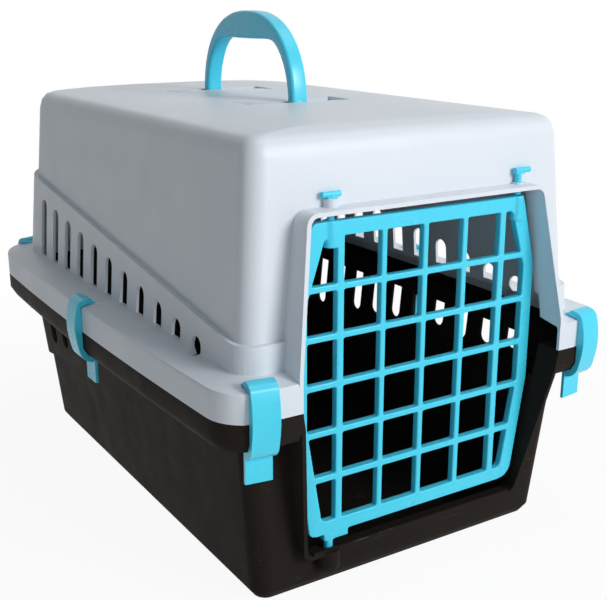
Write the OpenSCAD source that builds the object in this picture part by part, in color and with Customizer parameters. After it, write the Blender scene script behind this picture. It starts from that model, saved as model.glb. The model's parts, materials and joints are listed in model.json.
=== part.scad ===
// Small-pet travel carrier: two plastic shells closed by six clips round the rim, a grille door
// that swings on a corner pin and a top bolt, a second bolt that latches it, and a folding handle.
// Millimetres. Z is up, the door faces -Y, and the origin is under the middle of the base.

/* [Shells] */
// Outside length over the rim
rim_length = 480; // [460:1:540]
// Outside width over the rim at its middle
rim_width = 343; // [325:1:370]
// How far the long sides bow out in plan
bow = 4.8; // [3:0.2:6]
// Height of the roof edge
roof_height = 320; // [316:1:350]
// Height of the seam between the two shells
seam_height = 150; // [146:1:156]
// Wall thickness
wall = 2.5; // [2:0.1:3]
// Radius of the rim's front corners in plan
rim_corner = 28; // [26:1:32]
// Radius of the walls' front corners in plan
wall_corner = 14; // [13:1:20]
// How much larger the rear corner radii of rim and walls are
rear_round = 20; // [10:1:22]
// Depth of the upper shell skirt above the seam
skirt_height = 20; // [18:1:24]
// Depth of the lower shell lip below the seam
lip_height = 20; // [17:1:22]
// Width of the sloping ledge on the long sides
ledge_width = 28; // [27:1:30]
// How far the roof edge stands inside the rim
roof_inset = 41; // [39:1:46]
// How far the base edge stands inside the rim
base_inset = 42; // [40:1:46]
// Height of the crown in the middle of the roof
crown = 3.2; // [2:0.2:3.6]
// How far the slotted band stands proud of the wall
band_proud = 4; // [3:0.5:4.5]

/* [Vent slots] */
// Number of slots in each row
slot_count = 11; // [7:1:11]
// Distance between slots
slot_pitch = 31.4; // [26:0.2:32]
// Width of a slot
slot_width = 14; // [10:0.5:16]
// Height of the band edge at the front corner, above the seam
band_front = 42; // [40:1:46]
// Rise of the band edge from front to rear
band_rise = 55; // [40:1:60]

/* [Doorway] */
// How far the widest part of the doorway stands inside the rim
door_inset = 59.5; // [57:0.5:62]
// Height of the doorway top
door_top = 271; // [268:1:274]
// Height of the sill
sill = 31; // [29:1:33]
// Thickness of the collar round the doorway
collar = 2.8; // [2.4:0.2:4]

/* [Door and bolts] */
// Radius of the bolt shanks
bolt_r = 2.5; // [2:0.1:3]
// Radius of the door bottom pin
pin_r = 3.3; // [3:0.1:3.8]
// Running clearance of pins in their bores, on the radius
fit = 0.06; // [0.04:0.01:0.1]
// Thickness of the grille bars
grille_t = 6; // [5:0.5:6.5]
// Width of the grille bars in front view
bar = 4.4; // [3.5:0.1:6]

/* [Handle] */
// Length of the handle over its legs
handle_length = 154; // [142:1:166]
// Height of the handle above its pivot
handle_rise = 74; // [70:1:82]
// Width of the handle across the carrier
handle_width = 14; // [12:0.5:15]
// Thickness of a leg
leg_t = 9; // [8:0.5:12]
// Depth of the grip
grip_depth = 21.5; // [18:0.5:24]
// Position of the handle along the carrier
handle_y = 19; // [0:1:24]

/* [Clips] */
// Width of a clip
clip_width = 19; // [16:1:22]
// Radius of the clip's hinge bead
bead_r = 2.2; // [2:0.1:2.4]

/* [Show] */
// Which piece to draw

/* [Hidden] */
grey = [0.80, 0.83, 0.87];
dark = [0.15, 0.13, 0.12];
cyan = [0.28, 0.77, 0.90];

seat = 0.1;
thin = 0.1;
lip_t = 6.5;
hx = rim_width / 2;
hy = rim_length / 2;
crease = seam_height + skirt_height;
ledge_top = crease + 4;
wx = hx - ledge_width;
wy = hy - ledge_width + 6;
rx = hx - roof_inset;
ry = hy - roof_inset + 9;
bx = hx - base_inset;
by = hy - base_inset + 11;
far = rim_length + rim_width;

// The long sides are arcs that meet the corner arcs without a kink
cy = hy - rim_corner;
side_r = rim_corner + (cy * cy + bow * bow) / (2 * bow);
side_turn = asin(cy / (side_r - rim_corner));
cx = hx - side_r + (side_r - rim_corner) * cos(side_turn);
rear_r = rim_corner + rear_round;
rear_cy = hy - rear_r;
rear_turn = asin(rear_cy / (side_r - rear_r));
rear_cx = hx - side_r + (side_r - rear_r) * cos(rear_turn);

// Doorway half widths at the seam, the top and the sill
door_mid_half = hx - door_inset;
door_top_half = door_mid_half - 14;
door_sill_half = door_mid_half - 17;
door_round = 6;

// Collar: its front edge leans in above and below the seam
collar_top = door_top + collar;
front_top = -hy + 13;
front_sill = -hy + 21;
axis_y = -hy + 26.6;
hinge_x = -door_mid_half + 37;
latch_x = door_mid_half - 26;
tower_r = 4.8;
tower_top = collar_top + 5.5;
barrel_r = 5;
grille_top = door_top - 6;
barrel_top = grille_top + 0.4;
bolt_head = tower_top + seat;
latch_raise = 1.5;
boss_r = 8.4;

// Door grille outline
grille_low = sill + 12.4;
block_low = sill + 7;
socket_low = sill - 11;
frame_bar = 10;
top_rail = 10.3;
low_rail = 9;
door_low_half = door_sill_half - 3;
door_wide_half = door_mid_half - 7.8;
door_high_half = door_top_half - 7.5;
bend_low = seam_height - 25;
bend_high = seam_height + 63;
post_left = hinge_x + 6.7;
post_right = latch_x - 14.5;
post_w = bar + 1;

// Handle
pivot_z = roof_height - 2;
foot_r = handle_width / 2;
channel_len = 47;
channel_gap = 0.5;
pivot_r = 3.5;

// Clip section, u outward from the rim face and z up
bead_u = -10;
bead_z = ledge_top - 2.35;
lip_low = seam_height - lip_height;
lip_u = -4;
lip_r = sqrt(pow(lip_u - bead_u, 2) + pow(bead_z - lip_low, 2));
fall = (ledge_top - crease) / (hy - 0.8 - wy);
clip_x = hx - bow - 26.5;
clip_y = hy - 1.9;
clip_turn = 8;
rear_clip_turn = 22;
rear_clip_x = rear_cx + (rear_r - 2.5) * sin(rear_clip_turn);
rear_clip_y = rear_cy + (rear_r - 2.5) * cos(rear_clip_turn);
slot_reach = 2 * (wx + band_proud + 4);

// Points along an elliptical arc from angle a0 to a1
function arc(x, y, rx, ry, a0, a1, n) =
    [for (i = [0 : n]) [x + rx * cos(a0 + (a1 - a0) * i / n), y + ry * sin(a0 + (a1 - a0) * i / n)]];

// Corner b of the path a, b, c rounded with radius r
function fillet(a, b, c, r) = let (
        u = (a - b) / norm(a - b), v = (c - b) / norm(c - b), h = acos(u * v) / 2,
        o = b + (u + v) / norm(u + v) * r / sin(h), p = b + u * r / tan(h) - o, q = b + v * r / tan(h) - o,
        s = atan2(p[1], p[0]), e = atan2(q[1], q[0]) - s, t = e > 180 ? e - 360 : e < -180 ? e + 360 : e)
    arc(o[0], o[1], r, r, s, s + t, 7);

// Rounded rectangle in plan; its rear corners are rounder than its front ones
module plan(x, y, r) {
    q = r + rear_round;
    polygon(concat(arc(x - q, y - q, q, q, 0, 90, 10), arc(q - x, y - q, q, q, 90, 180, 10),
        arc(r - x, r - y, r, r, 180, 270, 8), arc(x - r, r - y, r, r, 270, 360, 8)));
}

module slab(x, y, r, z) {
    translate([0, 0, z]) linear_extrude(height = thin) plan(x, y, r);
}

// Plan of the rim, shrunk by off
module rim_plan(off) {
    f = rim_corner - off;
    b = rear_r - off;
    big = side_r - off;
    t = side_turn * 12 / 13;
    u = rear_turn * 12 / 13;
    polygon(concat(arc(hx - side_r, 0, big, big, -t, u, 12), arc(rear_cx, rear_cy, b, b, rear_turn, 90, 10),
        arc(-rear_cx, rear_cy, b, b, 90, 180 - rear_turn, 10),
        arc(side_r - hx, 0, big, big, 180 - u, 180 + t, 12),
        arc(-cx, -cy, f, f, 180 + side_turn, 270, 8), arc(cx, -cy, f, f, 270, 360 - side_turn, 8)));
}

module rim_slab(off, z, h = thin) {
    translate([0, 0, z]) linear_extrude(height = h) rim_plan(off);
}

// Upper wall with a softly crowned roof; off shrinks it for the inside
module upper_wall(off) {
    hull() {
        slab(wx - off, wy - off, wall_corner - off, ledge_top - 14);
        slab(rx + 1.4 - off, ry + 1 - off, wall_corner - off, roof_height - 14 - off);
        slab(rx - 0.6 - off, ry - 1 - off, wall_corner - 1 - off, roof_height - 6.5 - off);
        slab(rx - 4.5 - off, ry - 5 - off, wall_corner - 4 - off, roof_height - 2 - off);
        slab(rx - 10 - off, ry - 11 - off, wall_corner - 8 - off, roof_height - off);
        slab(rx - 35, ry - 18, 6, roof_height + 0.62 * crown - off);
        slab(rx - 70, ry - 24, 6, roof_height + crown - off);
    }
}

module upper_band(off) {
    hull() {
        slab(wx + band_proud - off, wy + band_proud - off, wall_corner + band_proud - off, ledge_top - 14);
        slab(rx + 1.4 + band_proud - off, ry + 1 + band_proud - off, wall_corner + band_proud - off,
            roof_height - 14);
    }
}

// Region under the sloping band edge, seen from the side; drop lowers the edge
module band_region(drop) {
    z0 = seam_height + band_front - drop;
    rotate([90, 0, 90]) linear_extrude(height = 2 * far, center = true)
        polygon([[-far, 0], [far, 0], [far, z0 + band_rise], [ry, z0 + band_rise],
            [-ry, z0], [-far, z0]]);
}

module upper_rim(off) {
    hull() {
        rim_slab(off, seam_height - (off > 0 ? 1 : 0), skirt_height - 2 - off + (off > 0 ? 1 : 0));
        rim_slab(off + 0.8, crease - off);
        slab(wx - off, wy - off, wall_corner - off, ledge_top - off - thin);
    }
}

module lower_wall(off) {
    hull() {
        slab(bx - 5 - off, by - 5 - off, wall_corner - 5 - off, off);
        slab(bx - off, by - off, wall_corner - 1 - off, 7 + off);
        slab(wx - off, wy - off, wall_corner - off, seam_height - thin + (off > 0 ? 1 : 0));
    }
}

module lower_band(off) {
    hull() {
        slab(bx + band_proud - off, by + band_proud - off, wall_corner + band_proud - off, 7);
        slab(wx + band_proud - off, wy + band_proud - off, wall_corner + band_proud - off,
            seam_height - thin + (off > 0 ? 1 : 0));
    }
}

// The lower band mirrors the upper one about a line just above the seam
module lower_region(drop) {
    z0 = seam_height + 14 - band_front + drop;
    rotate([90, 0, 90]) linear_extrude(height = 2 * far, center = true)
        polygon([[-far, far], [far, far], [far, z0 - band_rise], [ry, z0 - band_rise],
            [-ry, z0], [-far, z0]]);
}

// Doorway outline in the front view
module doorway(grow, top, low) {
    s = [door_sill_half + grow, low];
    m = [door_mid_half + grow, seam_height];
    n = [door_mid_half + grow, ledge_top];
    t = [door_top_half + grow, top];
    r = door_round + grow;
    right = concat(fillet([0, low], s, m, r), [m, n], fillet(n, t, [0, top], r));
    union() {
        for (i = [0, 1]) mirror([i, 0]) polygon(concat([[0, low]], right, [[0, top]]));
    }
}

module through_y(y0, y1) {
    translate([0, y1, 0]) rotate([90, 0, 0]) linear_extrude(height = y1 - y0) children();
}

module through_x(w) {
    rotate([90, 0, 90]) linear_extrude(height = w, center = true) children();
}

module tunnel() {
    through_y(-far, -wy + 40) doorway(0, door_top, sill);
}

// Solid hood that carries the collar; the two slanted faces meet at the rim
module hood() {
    intersection() {
        through_y(-hy - 5, -ry + 6) doorway(collar, collar_top, sill - collar);
        through_x(2 * far) polygon([[-ry + 6, sill - collar], [front_sill, sill - collar],
            [front_sill, sill], [-hy, seam_height - 12], [-hy, ledge_top], [front_top, collar_top],
            [-ry + 6, collar_top]]);
    }
}

// Places a clip: outward is the child's +X, and its origin is on the rim face
module at_clip(name) {
    mid = name == "mid_left" || name == "mid_right";
    front = name == "front_left" || name == "front_right";
    side = name == "front_left" || name == "mid_left" || name == "rear_left" ? -1 : 1;
    a = mid ? 90 - 90 * side : front ? 270 + side * clip_turn : 90 - side * rear_clip_turn;
    px = side * (mid ? hx : front ? clip_x : rear_clip_x);
    py = mid ? 0 : front ? -clip_y : rear_clip_y;
    translate([px, py, 0]) rotate([0, 0, a]) children();
}
CORNERS = ["front_left", "front_right", "rear_left", "rear_right"];
CLIPS = concat(CORNERS, ["mid_left", "mid_right"]);

module along_clip(w) {
    rotate([90, 0, 0]) linear_extrude(height = w, center = true) children();
}

// Flats that square off the rim where the corner clips sit
module clip_flats(inside) {
    for (c = CORNERS) at_clip(c) translate([-inside, -60, 0]) cube([40, 120, far]);
}

module slot_shape(z0, z1) {
    r = slot_width / 2;
    union() {
        translate([-r, z0]) square([2 * r, z1 - z0 - r]);
        translate([0, z1 - r]) circle(r = r, $fn = 40);
    }
}

module slots(lower) {
    step = band_rise / (2 * ry);
    y0 = -slot_pitch * (slot_count - 1) / 2 - 2;
    for (i = [0 : slot_count - 1]) {
        y = y0 + i * slot_pitch;
        reach = band_front + (y + ry) * step - 14;
        if (lower)
            translate([0, y, seam_height + 14]) mirror([0, 0, 1]) through_x(slot_reach)
                slot_shape(24.5, reach + (i < 3 ? 7 : 0));
        else
            translate([0, y, seam_height]) through_x(slot_reach) slot_shape(24.5, reach);
    }
}

module lower_shell() {
    color(dark) difference() {
        union() {
            difference() {
                union() {
                    lower_wall(0);
                    intersection() { lower_band(0); lower_region(0); }
                    intersection() {
                        hood();
                        translate([-far, -far, 0]) cube([2 * far, 2 * far, seam_height - thin]);
                    }
                    // Rim flange with its hanging lip
                    difference() {
                        hull() {
                            rim_slab(0, lip_low + 7, lip_height - 7);
                            rim_slab(4, lip_low);
                        }
                        translate([0, 0, lip_low - 1]) linear_extrude(height = lip_height - wall + 1)
                            rim_plan(lip_t);
                    }
                }
                difference() {
                    lower_wall(wall);
                    translate([-far, -far, -1]) cube([2 * far, 2 * far, wall + 1]);
                }
                intersection() { lower_band(wall); lower_region(wall); }
                // Doorway
                tunnel();
            }
            // Locating rib that the upper skirt drops over
            difference() {
                translate([0, 0, seam_height - 1]) linear_extrude(height = 6) difference() {
                    rim_plan(wall + 0.3);
                    rim_plan(wall + 2.3);
                }
                tunnel();
                clip_flats(wall + 0.3);
                through_y(-far, 0) doorway(collar + 4, collar_top + 40, sill - collar);
            }
            // Sill edge, and the boss of the door pin socket
            translate([-door_sill_half + 5, front_sill, sill - 1]) cube([2 * door_sill_half - 10, 2, 3]);
            translate([hinge_x, axis_y, socket_low]) cylinder(r = boss_r, h = sill - socket_low, $fn = 48);
            translate([hinge_x, axis_y, socket_low]) intersection() {
                sphere(r = boss_r, $fn = 48);
                translate([0, 0, 46]) cube([100, 100, 100], center = true);
            }
        }
        slots(true);
        clip_flats(0);
        // At the corner clips the lip's bevel follows the flat
        for (c = CORNERS) at_clip(c) along_clip(clip_width + 8) polygon([[lip_u, lip_low - 1],
            [lip_u, lip_low], [0, lip_low + 7], [5, lip_low + 7], [5, lip_low - 1]]);
        // Door pin socket
        translate([hinge_x, axis_y, socket_low]) cylinder(r = pin_r + fit, h = 60, $fn = 48);
    }
}
module upper_shell() {
    color(grey) difference() {
        union() {
            difference() {
                union() {
                    difference() {
                        upper_wall(0);
                        translate([-far, -far, -far]) cube([2 * far, 2 * far, far + crease]);
                    }
                    intersection() {
                        upper_band(0);
                        band_region(0);
                        translate([-far, -far, crease]) cube([2 * far, 2 * far, far]);
                    }
                    upper_rim(0);
                    intersection() {
                        hood();
                        translate([-far, -far, seam_height]) cube([2 * far, 2 * far, far]);
                    }
                }
                upper_wall(wall);
                intersection() { upper_band(wall); band_region(wall); }
                difference() { upper_rim(wall); clip_flats(wall); }
                tunnel();
            }
            // Roof pockets for the handle feet
            for (j = [0, 1]) translate([-channel_len - 3, handle_y, roof_height]) mirror([0, j, 0]) {
                translate([0, handle_length / 2 - leg_t - 7, -17])
                    cube([2 * channel_len + 6, leg_t + 14, 17 + crown / 2]);
                translate([0, arch_reach(channel_len) - 4, -8.5])
                    cube([2 * channel_len + 6, 26, 8.5 + crown / 2]);
            }
            // Guide tower of the hinge bolt and low boss of the latch bolt
            translate([hinge_x, axis_y, door_top]) cylinder(r = tower_r, h = tower_top - door_top, $fn = 48);
            translate([latch_x, axis_y, door_top]) cylinder(r = tower_r, h = collar + 1, $fn = 48);
            // Beads under the ledge that carry the clip grooves
            for (c = CLIPS) at_clip(c) translate([bead_u, 0, bead_z]) along_clip(clip_width + 6)
                intersection() {
                    circle(r = 5, $fn = 40);
                    top = c == "mid_left" || c == "mid_right" ? 0.3 : -0.8;
                    polygon([[-9, -9], [9, -9], [9, top - 9 * fall], [-9, top + 9 * fall]]);
                }
        }
        slots(false);
        clip_flats(0);
        for (c = CLIPS) at_clip(c) translate([bead_u, 0, bead_z])
            along_clip(clip_width + 1) circle(r = bead_r + fit, $fn = 40);
        // Bolt guides
        for (x = [hinge_x, latch_x]) translate([x, axis_y, door_top - 5])
            cylinder(r = bolt_r + fit, h = 40, $fn = 48);
        // Handle channels, widening inward as the arch does, and pivot bores
        for (j = [0, 1]) translate([0, handle_y, 0]) mirror([0, j, 0]) {
            intersection() {
                translate([0, handle_length, 0]) rotate([90, 0, 0]) linear_extrude(height = handle_length)
                    polygon([[-channel_len, roof_height + crown + 1], [-channel_len, roof_height - 0.5],
                        [-foot_r - 3, pivot_z - foot_r - 1], [foot_r + 3, pivot_z - foot_r - 1],
                        [channel_len, roof_height - 0.5], [channel_len, roof_height + crown + 1]]);
                translate([0, 0, pivot_z - 20]) linear_extrude(height = 40) polygon(concat(
                    [for (i = [-12 : 12]) [4 * i, arch_reach(4 * abs(i)) - channel_gap]],
                    [[48, handle_length / 2 + channel_gap], [-48, handle_length / 2 + channel_gap]]));
            }
            translate([0, handle_length / 2 - leg_t / 2, pivot_z]) rotate([-90, 0, 0])
                cylinder(r = pivot_r + fit, h = leg_t / 2 + channel_gap + 4.2, $fn = 48);
        }
    }
}

// Outline of the door in the front view, inset by m; r and q round its lower right and left corners
module door_outline(m, r, q) {
    low = [door_low_half - m, grille_low + m];
    b = [door_wide_half - m, bend_low];
    c = [door_wide_half - m, bend_high];
    top = [door_high_half - m, grille_top - m];
    union() {
        for (i = [0, 1]) mirror([i, 0]) polygon(concat([[0, low[1]]],
            fillet([0, low[1]], low, b, i == 0 ? r : q), [b, c], fillet(c, top, [0, top[1]], 5),
            [[0, top[1]]]));
    }
}

module door_grille() {
    bars = 5;
    pitch = (grille_top - top_rail - grille_low - low_rail) / (bars + 1);
    wide = 2 * door_mid_half;
    color(cyan) difference() {
        union() {
            translate([0, axis_y + grille_t / 2, 0]) rotate([90, 0, 0])
                linear_extrude(height = grille_t) union() {
                    difference() { door_outline(0, 12, 6); door_outline(frame_bar, 5, 5); }
                    intersection() {
                        door_outline(2, 10, 5);
                        union() {
                            for (i = [0 : 4]) let (w = i == 0 || i == 4 ? post_w : bar)
                                translate([post_left + i * (post_right - post_left) / 4 - w / 2, 0])
                                    square([w, door_top]);
                            for (k = [1 : bars])
                                translate([-wide / 2, grille_low + low_rail + k * pitch - bar / 2])
                                    square([wide, bar]);
                            translate([-wide / 2, grille_top - top_rail]) square([wide, top_rail]);
                            translate([-wide / 2, grille_low]) square([wide, low_rail]);
                        }
                    }
                    // Hinge block
                    translate([hinge_x - 5, block_low]) square([20, grille_low + low_rail - block_low]);
                }
            // Barrels for the two bolts
            for (x = [hinge_x, latch_x]) translate([x, axis_y, barrel_top - 18])
                cylinder(r = barrel_r, h = 18, $fn = 48);
            // The pin that turns in the sill
            translate([hinge_x, axis_y, socket_low + seat])
                cylinder(r = pin_r, h = block_low - socket_low + 4, $fn = 48);
        }
        for (x = [hinge_x, latch_x]) translate([x, axis_y, barrel_top - 16])
            cylinder(r = bolt_r + fit, h = 40, $fn = 48);
    }
}

// Bolt with a cross bar to pull on: low is the bottom of its shank, head its top, and the bar starts
// at x from
module bolt(low, head, from) {
    union() {
        translate([0, 0, low]) cylinder(r = bolt_r, h = head + 2.4 - low, $fn = 48);
        translate([from, 0, head + 2.4]) rotate([0, 90, 0]) cylinder(r = 2.1, h = 14, $fn = 40);
        translate([-3.5, -2.2, head]) cube([7, 4.4, 2.4]);
    }
}

module hinge_bolt() {
    color(cyan) translate([hinge_x, axis_y, 0]) bolt(barrel_top - 15, bolt_head, -7);
}

module latch_bolt() {
    color(cyan) translate([latch_x, axis_y, 0]) bolt(barrel_top + 0.4, bolt_head + latch_raise, -3.6);
}

// Half-round arch of half length a and height b, squarer than an ellipse
function arch(a, b, n) = [for (i = [0 : n]) let (c = cos(180 * i / n), s = sin(180 * i / n))
    [a * sign(c) * pow(abs(c), 0.87), b * pow(s, 0.87)]];

// Where the arch's inner face stands once it has folded down to x
function arch_reach(x) = (handle_length / 2 - leg_t)
    * pow(1 - pow(min(1, (1.04 * x + 1) / (handle_rise - 11)), 2.3), 0.435) - 0.3;

// Handle: an arch along the carrier with two pivot pins at its feet
module carry_handle() {
    half = handle_length / 2;
    inner = half - leg_t;
    low = handle_rise - grip_depth - 0.7;
    hole = [for (p = arch(inner, handle_rise - 11, 56)) let (z = max(p[1], 1), k = low + pow(p[0] / 40, 2))
        [p[0], pow(pow(z, -18) + pow(k, -18), -1 / 18)]];
    color(cyan) translate([0, handle_y, pivot_z]) union() {
        through_x(handle_width) difference() {
            polygon(concat([[half, -0.5]], arch(half, handle_rise, 72), [[-half, -0.5]]));
            polygon(concat([[inner, -9]], hole, [[-inner, -9]]));
        }
        for (s = [-1, 1]) translate([0, s * (half - leg_t / 2), 0]) rotate([90, 0, 0])
            cylinder(r = foot_r, h = leg_t, center = true, $fn = 64);
        for (s = [-1, 1]) translate([0, s * (half - leg_t / 2), 0]) rotate([s > 0 ? -90 : 90, 0, 0])
            cylinder(r = pivot_r, h = leg_t / 2 + 4, $fn = 48);
    }
}

// Clip section about its bead: a strap round the rim, a toe under the lip and a pull tab
module clip_section() {
    g = 0.3;
    face = -bead_u + g;
    reach = lip_r + g;
    toe = atan2(lip_u - bead_u + 0.5, bead_z - lip_low);
    mid = crease - bead_z - (skirt_height + lip_height) / 2 + 3;
    bulge = (skirt_height + lip_height) / 2 - 3;
    out = face + 3.4;
    translate([bead_u, bead_z]) polygon(concat(
        [[0.2, 0.5], [1.1, 1.9], [1.6, 3.2]],
        arc(out - 9, mid + bulge, 9, 6.4, 100, 10, 7),
        arc(out - 60, mid, 60 + 2.6, 62, asin(0.22), -asin(0.22), 8),
        arc(out - 12, mid - bulge, 12, 12.6, -10, -86, 6),
        [[1.8, -reach - 4.6], [1.8, -reach - 24], [-0.6, -reach - 24], [-0.6, -reach - 0.3]],
        arc(0, 0, reach, reach, -90, -90 + toe, 5),
        [[face, lip_low + 7 - bead_z - 0.5], [face, -1.2], [face - 0.6, 0.85 - (face - 0.6) * fall],
            [3.2, 0.85 - 3.2 * fall], [1, 0.1]]));
}

module clip(name) {
    color(cyan) at_clip(name) union() {
        along_clip(clip_width) clip_section();
        translate([bead_u, 0, bead_z]) along_clip(clip_width) circle(r = bead_r, $fn = 40);
    }
}

lower_shell();
upper_shell();
door_grille();
hinge_bolt();
latch_bolt();
carry_handle();
clip("front_left");  // clip_front_left
clip("front_right");  // clip_front_right
clip("mid_left");  // clip_mid_left
clip("mid_right");  // clip_mid_right
clip("rear_left");  // clip_rear_left
clip("rear_right");  // clip_rear_right
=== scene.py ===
import json
import math

import bmesh
import bpy
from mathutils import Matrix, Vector


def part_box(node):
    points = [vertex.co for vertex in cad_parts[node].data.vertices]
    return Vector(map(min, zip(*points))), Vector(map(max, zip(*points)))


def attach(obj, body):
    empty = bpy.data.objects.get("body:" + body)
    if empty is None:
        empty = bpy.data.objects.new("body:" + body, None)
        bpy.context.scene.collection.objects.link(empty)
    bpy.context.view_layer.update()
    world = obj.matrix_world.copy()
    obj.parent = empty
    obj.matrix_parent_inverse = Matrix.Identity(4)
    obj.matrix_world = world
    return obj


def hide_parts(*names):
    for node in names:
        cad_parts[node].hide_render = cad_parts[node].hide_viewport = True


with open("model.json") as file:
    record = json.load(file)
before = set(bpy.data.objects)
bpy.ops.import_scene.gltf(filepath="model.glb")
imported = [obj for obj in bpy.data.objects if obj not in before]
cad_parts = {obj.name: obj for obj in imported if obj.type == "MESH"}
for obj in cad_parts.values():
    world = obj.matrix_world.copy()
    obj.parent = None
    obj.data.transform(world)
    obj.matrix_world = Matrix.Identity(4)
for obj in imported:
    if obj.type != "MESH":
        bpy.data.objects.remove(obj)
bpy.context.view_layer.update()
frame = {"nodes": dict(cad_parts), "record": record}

# Strength of the white background, of the room's light, and of the floor's glow under the object
WHITE = 1.0
AMBIENT = 0.12
FLOOR_NEAR = 0.93
GLOW_START, GLOW_END = 0.28, 0.75

# The bolts' axes seen from above, and the bore in the door that clears their shanks above its floor
BORES = ((-0.075, -0.2134), (0.086, -0.2134))
BORE_RADIUS, BORE_FLOOR = 0.0027, 0.25

# Mould radii of the edges, and the grille's blend
SHELL_EDGE, BOLT_EDGE, CLIP_EDGE = 0.0006, 0.0005, 0.0007
GRILLE_VOXEL, GRILLE_ROUNDS, GRILLE_KEEP = 0.0007, 7, 0.45

# Handle: half length over its legs, leg, crown over the hole, grip, edge radius and pivot pin
HANDLE_HALF, HANDLE_LEG, HANDLE_CROWN = 0.077, 0.009, 0.011
HANDLE_GRIP, HANDLE_EDGE, HANDLE_PIN = 0.0215, 0.0026, 0.0035
ARCH_POWER = 0.87


# Camera of the photograph

def make_camera():
    data = bpy.data.cameras.new("camera")
    cam = bpy.data.objects.new("camera", data)
    bpy.context.scene.collection.objects.link(cam)
    azimuth, elevation = math.radians(-32.245), math.radians(16.463)
    back = Vector((math.sin(azimuth) * math.cos(elevation),
                   -math.cos(azimuth) * math.cos(elevation),
                   math.sin(elevation)))
    cam.location = (-0.42358, -0.73369, 0.39708)
    cam.rotation_mode = "QUATERNION"
    cam.rotation_quaternion = (-back).to_track_quat("-Z", "Y")
    data.sensor_fit = "HORIZONTAL"
    data.sensor_width = 36.0
    data.lens = 59.425
    data.clip_start, data.clip_end = 0.01, 50.0
    bpy.context.scene.camera = cam


# Node helpers

class Graph:
    """A material's node tree with short calls."""

    def __init__(self, name):
        self.material = bpy.data.materials.new(name)
        self.material.use_nodes = True
        self.tree = self.material.node_tree
        self.tree.nodes.clear()

    def add(self, kind, **values):
        node = self.tree.nodes.new(kind)
        for key, value in values.items():
            setattr(node, key, value)
        return node

    def link(self, source, target):
        self.tree.links.new(source, target)

    def noise(self, vector, scale, detail=2.0, roughness=0.5):
        node = self.add("ShaderNodeTexNoise")
        node.inputs["Scale"].default_value = scale
        node.inputs["Detail"].default_value = detail
        node.inputs["Roughness"].default_value = roughness
        self.link(vector, node.inputs["Vector"])
        return node.outputs["Fac"]

    def span(self, value, low, high, start=0.0, end=1.0):
        node = self.add("ShaderNodeMapRange")
        for key, number in (("From Min", start), ("From Max", end), ("To Min", low), ("To Max", high)):
            node.inputs[key].default_value = number
        self.link(value, node.inputs["Value"])
        return node.outputs["Result"]

    def math(self, operation, a, b):
        node = self.add("ShaderNodeMath", operation=operation)
        for socket, value in zip(node.inputs, (a, b)):
            if isinstance(value, (int, float)):
                socket.default_value = value
            else:
                self.link(value, socket)
        return node.outputs[0]

    def mix(self, factor, a, b):
        node = self.add("ShaderNodeMix", data_type="RGBA")
        if isinstance(factor, (int, float)):
            node.inputs[0].default_value = factor
        else:
            self.link(factor, node.inputs[0])
        for socket, value in ((node.inputs[6], a), (node.inputs[7], b)):
            if isinstance(value, tuple):
                socket.default_value = (*value, 1.0)
            else:
                self.link(value, socket)
        return node.outputs[2]

    def object_space(self):
        return self.add("ShaderNodeTexCoord").outputs["Object"]


def moulded(name, colour, deep, rough, grain, specular, subsurface=0.0):
    """Injection-moulded plastic: spark-eroded grain, faint flow tone, rubbed patches, fine scuffs."""
    g = Graph(name)
    space = g.object_space()
    broad = g.noise(space, 7.0, 3.0)
    patch = g.noise(space, 38.0, 4.0, 0.6)
    pores = g.noise(space, 1900.0, 2.0, 0.6)
    soft = g.noise(space, 420.0, 2.0)

    # Scuffs are thin stretched streaks that show only in some patches
    stretch = g.add("ShaderNodeMapping")
    stretch.inputs["Scale"].default_value = (60.0, 900.0, 900.0)
    stretch.inputs["Rotation"].default_value = (0.4, 0.9, 0.3)
    g.link(space, stretch.inputs["Vector"])
    streak = g.noise(stretch.outputs["Vector"], 1.0, 1.0)
    streak = g.span(streak, 0.0, 1.0, 0.66, 0.74)
    worn = g.math("MULTIPLY", streak, g.span(patch, 0.0, 1.0, 0.52, 0.70))

    tone = g.mix(g.span(broad, 0.0, 1.0, 0.3, 0.7), deep, colour)
    tone = g.mix(g.math("MULTIPLY", worn, 0.16), tone, tuple(min(1.0, 0.55 + 0.45 * c) for c in colour))

    surface = g.add("ShaderNodeBsdfPrincipled")
    g.link(tone, surface.inputs["Base Color"])
    rubbed = g.span(patch, rough - 0.05, rough + 0.06, 0.3, 0.7)
    gloss = g.math("ADD", rubbed, g.math("MULTIPLY", worn, 0.12))
    g.link(gloss, surface.inputs["Roughness"])
    surface.inputs["Specular IOR Level"].default_value = specular
    surface.inputs["IOR"].default_value = 1.49
    if subsurface:
        surface.inputs["Subsurface Weight"].default_value = subsurface
        surface.inputs["Subsurface Radius"].default_value = (0.2, 1.0, 1.2)
        surface.inputs["Subsurface Scale"].default_value = 0.002

    coarse = g.math("MULTIPLY", soft, 0.35 * grain)
    height = g.math("ADD", g.math("MULTIPLY", pores, grain), coarse)
    bump = g.add("ShaderNodeBump")
    bump.inputs["Strength"].default_value = 0.35
    bump.inputs["Distance"].default_value = 0.0004
    g.link(height, bump.inputs["Height"])
    g.link(bump.outputs["Normal"], surface.inputs["Normal"])
    out = g.add("ShaderNodeOutputMaterial")
    g.link(surface.outputs["BSDF"], out.inputs["Surface"])
    return g.material


LIGHT = moulded("light_plastic", (0.735, 0.785, 0.845), (0.705, 0.755, 0.82),
                rough=0.42, grain=0.55, specular=0.45)
DARK = moulded("dark_plastic", (0.0245, 0.0190, 0.0162), (0.0190, 0.0148, 0.0128),
               rough=0.50, grain=0.7, specular=0.02)
CYAN = moulded("cyan_plastic", (0.070, 0.700, 0.920), (0.052, 0.650, 0.880),
               rough=0.30, grain=0.12, specular=0.50, subsurface=0.15)


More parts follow.
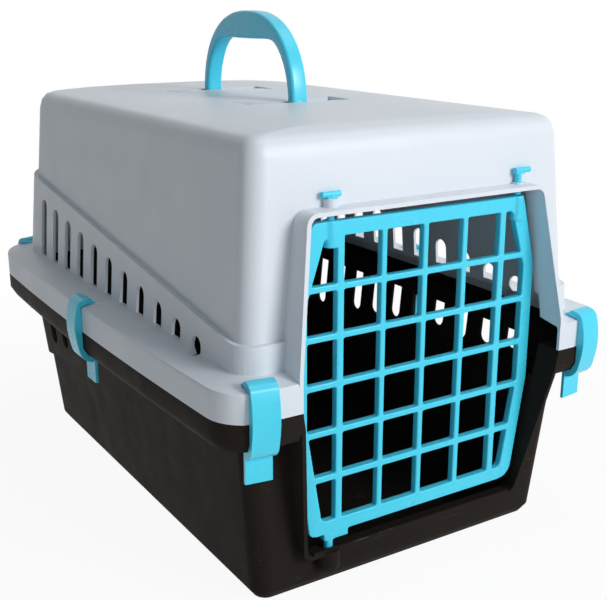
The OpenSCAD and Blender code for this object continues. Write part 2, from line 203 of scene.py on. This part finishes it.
def dress(node, material):
    obj = frame["nodes"][node]
    obj.data.materials.clear()
    obj.data.materials.append(material)
    for face in obj.data.polygons:
        face.material_index = 0


slots = {"lower_plastic": DARK, "upper_plastic": LIGHT, "coloured_plastic": CYAN}
record = frame["record"]
slot_of = {part["node"]: part["material_slot"] for part in record["subparts"]}
body_of = {node: body for body, nodes in record["behaviour"]["bodies"].items() for node in nodes}
for node in slot_of:
    dress(node, slots[slot_of[node]])


# Pieces

def piece(name, mesh, node):
    """A finished mesh that stands for one CAD node and rides where that node rides."""
    obj = bpy.data.objects.new(name, mesh)
    bpy.context.scene.collection.objects.link(obj)
    mesh.materials.clear()
    mesh.materials.append(slots[slot_of[node]])
    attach(obj, body_of[node])
    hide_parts(node)
    return obj


def shade(mesh, degrees):
    mesh.polygons.foreach_set("material_index", [0] * len(mesh.polygons))
    mesh.polygons.foreach_set("use_smooth", [True] * len(mesh.polygons))
    mesh.set_sharp_from_angle(angle=math.radians(degrees))
    mesh.update()


def even_normals(obj):
    weighted = obj.modifiers.new("even_normals", "WEIGHTED_NORMAL")
    weighted.mode = "FACE_AREA_WITH_ANGLE"
    weighted.weight = 60
    weighted.keep_sharp = True


def moulded_edges(node, width, sharp=34.0, segments=2, smooth=36.0):
    """The CAD node's own solid with its sharp edges broken by a small mould radius."""
    bm = bmesh.new()
    bm.from_mesh(frame["nodes"][node].data)
    bmesh.ops.remove_doubles(bm, verts=bm.verts, dist=0.00002)
    bmesh.ops.dissolve_limit(bm, angle_limit=math.radians(0.12), verts=bm.verts, edges=bm.edges)
    bm.normal_update()
    corner = math.radians(sharp)
    edges = [e for e in bm.edges if len(e.link_faces) == 2 and e.calc_face_angle(0.0) > corner]
    bmesh.ops.bevel(bm, geom=edges, offset=width, offset_type="OFFSET", segments=segments,
                    profile=0.5, affect="EDGES", clamp_overlap=True)
    bmesh.ops.triangulate(bm, faces=[f for f in bm.faces if len(f.verts) > 4])
    mesh = bpy.data.meshes.new(node + "_moulded")
    bm.to_mesh(mesh)
    bm.free()
    shade(mesh, smooth)
    obj = piece(node + "_moulded", mesh, node)
    even_normals(obj)


def moulded_grille(node):
    """The CAD node's solid with every edge and inner corner blended, as on a moulded grille.

    Blending narrows the bores for the bolts, so their walls are set back.
    """
    rough = bpy.data.objects.new("rough", frame["nodes"][node].data.copy())
    bpy.context.scene.collection.objects.link(rough)
    remesh = rough.modifiers.new("remesh", "REMESH")
    remesh.mode = "VOXEL"
    remesh.voxel_size = GRILLE_VOXEL
    relax = rough.modifiers.new("relax", "SMOOTH")
    relax.factor = 0.5
    relax.iterations = GRILLE_ROUNDS
    thin = rough.modifiers.new("thin", "DECIMATE")
    thin.ratio = GRILLE_KEEP
    graph = bpy.context.evaluated_depsgraph_get()
    mesh = bpy.data.meshes.new_from_object(rough.evaluated_get(graph))
    bpy.data.objects.remove(rough)
    mesh.name = node + "_moulded"
    for vertex in mesh.vertices:
        for x, y in BORES:
            away = Vector((vertex.co.x - x, vertex.co.y - y))
            if vertex.co.z > BORE_FLOOR and 0.0 < away.length < BORE_RADIUS:
                away *= BORE_RADIUS / away.length
                vertex.co.x, vertex.co.y = x + away.x, y + away.y
    shade(mesh, 60.0)
    piece(node + "_moulded", mesh, node)


def arch_point(a, b, turn):
    c, s = math.cos(turn), math.sin(turn)
    return math.copysign(a * abs(c) ** ARCH_POWER, c), b * max(s, 0.0) ** ARCH_POWER


def carry_handle():
    """Arched handle: a loft of rounded sections from foot to foot, a disc and a pin at each foot."""
    low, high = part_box("carry_handle")
    half_x = (high[0] - low[0]) / 2
    foot_z = low[2] + half_x
    rise = high[2] - foot_z
    centre_y = (low[1] + high[1]) / 2
    inner_half, inner_rise = HANDLE_HALF - HANDLE_LEG, rise - HANDLE_CROWN
    radius, steps, count = HANDLE_EDGE, 5, 88
    shelf = rise - HANDLE_GRIP - 0.0007

    rows = []
    for i in range(count + 1):
        turn = math.pi * i / count
        oy, oz = arch_point(HANDLE_HALF, rise, turn)
        iy, iz = arch_point(inner_half, inner_rise, turn)
        iz = max(iz, 0.0005)
        shelf_here = shelf + (iy / 0.040) ** 2 * 0.001
        iz = (iz ** -18 + shelf_here ** -18) ** (-1 / 18)
        rows.append(((oy, oz), (iy, iz)))
    foot = [((HANDLE_HALF, z), (inner_half, z)) for z in (-0.003, -0.0015)]
    rows = foot + rows + [((-o[0], o[1]), (-i[0], i[1])) for o, i in reversed(foot)]

    bm = bmesh.new()
    rings = []
    for (oy, oz), (iy, iz) in rows:
        depth = math.hypot(oy - iy, oz - iz)
        uy, uz = (oy - iy) / depth, (oz - iz) / depth
        ring = []
        for corner, (sx, sd) in enumerate(((1, 1), (-1, 1), (-1, -1), (1, -1))):
            for k in range(steps + 1):
                turn = math.radians(90 * corner + 90 * k / steps)
                x = sx * (half_x - radius) + radius * math.cos(turn)
                d = depth / 2 + sd * (depth / 2 - radius) + radius * math.sin(turn)
                ring.append(bm.verts.new((x, centre_y + iy + uy * d, foot_z + iz + uz * d)))
        rings.append(ring)
    size = len(rings[0])
    for a, b in zip(rings, rings[1:]):
        for k in range(size):
            bm.faces.new((a[k], a[(k + 1) % size], b[(k + 1) % size], b[k]))
    bm.faces.new(list(reversed(rings[0])))
    bm.faces.new(rings[-1])

    def disc(y0, y1, r, edge):
        stack = [(y0, r - edge), (y0 + edge * 0.3, r - edge * 0.3), (y0 + edge, r),
                 (y1 - edge, r), (y1 - edge * 0.3, r - edge * 0.3), (y1, r - edge)]
        loops = [[bm.verts.new((rr * math.cos(t), y, foot_z + rr * math.sin(t)))
                  for t in (2 * math.pi * k / 48 for k in range(48))] for y, rr in stack]
        for a, b in zip(loops, loops[1:]):
            for k in range(48):
                bm.faces.new((a[k], b[k], b[(k + 1) % 48], a[(k + 1) % 48]))
        bm.faces.new(list(reversed(loops[0])))
        bm.faces.new(loops[-1])

    for side in (-1, 1):
        outer = centre_y + side * HANDLE_HALF
        inner = centre_y + side * inner_half
        disc(min(outer, inner), max(outer, inner), half_x, 0.0008)
        tip = high[1] if side > 0 else low[1]
        root = outer - side * 0.002
        disc(min(root, tip), max(root, tip), HANDLE_PIN, 0.0005)
    bmesh.ops.recalc_face_normals(bm, faces=bm.faces)
    mesh = bpy.data.meshes.new("carry_handle_moulded")
    bm.to_mesh(mesh)
    bm.free()
    shade(mesh, 40.0)
    piece("carry_handle_moulded", mesh, "carry_handle")


moulded_edges("upper_shell", SHELL_EDGE)
moulded_edges("lower_shell", SHELL_EDGE)
moulded_grille("door_grille")
for node in ("hinge_bolt", "latch_bolt"):
    moulded_edges(node, BOLT_EDGE, sharp=40.0, segments=3, smooth=45.0)
for node in slot_of:
    if node.startswith("clip_"):
        moulded_edges(node, CLIP_EDGE, sharp=40.0, segments=3, smooth=40.0)
carry_handle()


# Stage

def make_stage():
    """White paper that shows a faint shadow under the object and pure white further out."""
    floor = bpy.data.meshes.new("floor")
    floor.from_pydata([(-12, -12, 0), (12, -12, 0), (12, 12, 0), (-12, 12, 0)], [], [(0, 1, 2, 3)])
    obj = bpy.data.objects.new("floor", floor)
    bpy.context.scene.collection.objects.link(obj)
    g = Graph("floor_paper")
    space = g.object_space()
    diffuse = g.add("ShaderNodeBsdfDiffuse")
    cloud = g.span(g.noise(space, 3.0), 0.0, 1.0, 0.3, 0.7)
    tone = g.mix(cloud, (0.90, 0.90, 0.90), (0.92, 0.92, 0.92))
    g.link(tone, diffuse.inputs["Color"])
    glow = g.add("ShaderNodeEmission")
    glow.inputs["Color"].default_value = (1, 1, 1, 1)
    glow.inputs["Strength"].default_value = WHITE
    path = g.add("ShaderNodeLightPath")
    seen = g.math("MAXIMUM", path.outputs["Is Camera Ray"], path.outputs["Is Glossy Ray"])
    seen = g.math("MAXIMUM", seen, path.outputs["Is Transmission Ray"])
    length = g.add("ShaderNodeVectorMath", operation="LENGTH")
    g.link(space, length.inputs[0])
    share = g.span(length.outputs["Value"], FLOOR_NEAR, 1.0, GLOW_START, GLOW_END)
    blend = g.add("ShaderNodeMixShader")
    g.link(g.math("MULTIPLY", seen, share), blend.inputs["Fac"])
    g.link(diffuse.outputs[0], blend.inputs[1])
    g.link(glow.outputs[0], blend.inputs[2])
    out = g.add("ShaderNodeOutputMaterial")
    g.link(blend.outputs[0], out.inputs["Surface"])
    floor.materials.append(g.material)

    world = bpy.data.worlds.new("studio")
    bpy.context.scene.world = world
    world.use_nodes = True
    tree = world.node_tree
    tree.nodes.clear()
    light_path = tree.nodes.new("ShaderNodeLightPath")
    first = tree.nodes.new("ShaderNodeMath")
    second = tree.nodes.new("ShaderNodeMath")
    first.operation = second.operation = "MAXIMUM"
    tree.links.new(light_path.outputs["Is Camera Ray"], first.inputs[0])
    tree.links.new(light_path.outputs["Is Glossy Ray"], first.inputs[1])
    tree.links.new(first.outputs[0], second.inputs[0])
    tree.links.new(light_path.outputs["Is Transmission Ray"], second.inputs[1])
    room = tree.nodes.new("ShaderNodeBackground")
    room.inputs["Color"].default_value = (0.90, 0.95, 1.0, 1)
    room.inputs["Strength"].default_value = AMBIENT
    paper = tree.nodes.new("ShaderNodeBackground")
    paper.inputs["Color"].default_value = (1, 1, 1, 1)
    paper.inputs["Strength"].default_value = WHITE
    pick = tree.nodes.new("ShaderNodeMixShader")
    tree.links.new(second.outputs[0], pick.inputs["Fac"])
    tree.links.new(room.outputs[0], pick.inputs[1])
    tree.links.new(paper.outputs[0], pick.inputs[2])
    final = tree.nodes.new("ShaderNodeOutputWorld")
    tree.links.new(pick.outputs[0], final.inputs["Surface"])


def lamp(name, place, target, size, power, colour):
    data = bpy.data.lights.new(name, "AREA")
    data.shape = "RECTANGLE"
    data.size, data.size_y = size
    data.energy = power
    data.color = colour
    obj = bpy.data.objects.new(name, data)
    obj.location = place
    obj.rotation_mode = "QUATERNION"
    obj.rotation_quaternion = (Vector(target) - Vector(place)).to_track_quat("-Z", "Y")
    bpy.context.scene.collection.objects.link(obj)


make_camera()
make_stage()
lamp("key", (1.0, -2.6, 1.35), (0, 0, 0.18), (1.2, 1.0), 57.0, (1.0, 0.995, 0.985))
lamp("top", (0.6, -0.2, 2.5), (0, 0, 0.2), (1.6, 1.6), 15.0, (0.97, 0.99, 1.0))
lamp("left", (-1.2, -1.5, 0.6), (0, 0, 0.15), (0.9, 0.9), 1.9, (0.95, 0.98, 1.0))

bpy.context.scene.view_settings.view_transform = "Standard"
